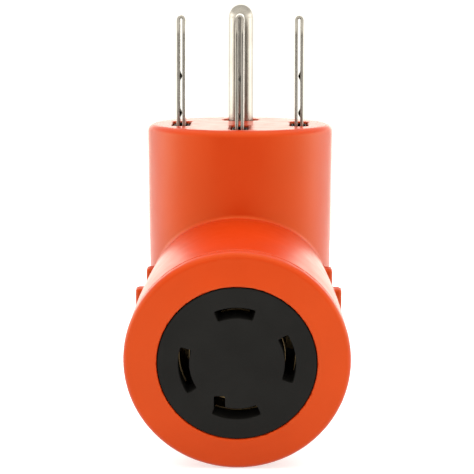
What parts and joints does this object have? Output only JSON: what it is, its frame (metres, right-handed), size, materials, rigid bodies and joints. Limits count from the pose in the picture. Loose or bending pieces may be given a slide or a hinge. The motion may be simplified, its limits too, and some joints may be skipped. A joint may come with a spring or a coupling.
{
  "type": "elbow power plug adapter",
  "caption": "Moulded elbow power adapter: a straight-blade plug with flat blades and a round ground pin, turning to a round locking socket with curved slots.",
  "frame": {"origin": "centre of the flat plug face that the prongs stand on", "axes": "+Z along the prongs, out of the plug face; -Y towards the socket end; +X to the right when looking at the socket"},
  "size_m": [0.052, 0.08, 0.1032],
  "materials": {
    "orange_pvc": "satin moulded PVC, saturated orange",
    "black_plastic": "fine matt moulded, black",
    "dark_plastic": "matt moulded, black",
    "nickel_plate": "polished nickel plate",
    "contact_brass": "rolled brass strip",
    "steel": "zinc plated",
    "copper": "bare copper",
    "insulation_black": "soft PVC insulation, black",
    "insulation_red": "soft PVC insulation, red",
    "insulation_white": "soft PVC insulation, white",
    "insulation_green": "soft PVC insulation, green"
  },
  "bodies": {
    "root": {"housing": "orange_pvc", "blade_bridge": "black_plastic", "bridge_back_plate": "dark_plastic", "hot_blade_x": "nickel_plate", "hot_blade_y": "nickel_plate", "neutral_blade": "nickel_plate", "ground_pin": "nickel_plate", "receptacle_face": "black_plastic", "contact_carrier": "dark_plastic", "carrier_rear_cover": "dark_plastic", "cover_screw_left": "steel", "cover_screw_right": "steel", "contact_x": "contact_brass", "contact_y": "contact_brass", "contact_neutral": "contact_brass", "contact_ground": "contact_brass", "wire_insulation_x": "insulation_black", "wire_insulation_y": "insulation_red", "wire_insulation_neutral": "insulation_white", "wire_insulation_ground": "insulation_green", "wire_core_x": "copper", "wire_core_y": "copper", "wire_core_neutral": "copper", "wire_core_ground": "copper"}
  },
  "joints": []
}
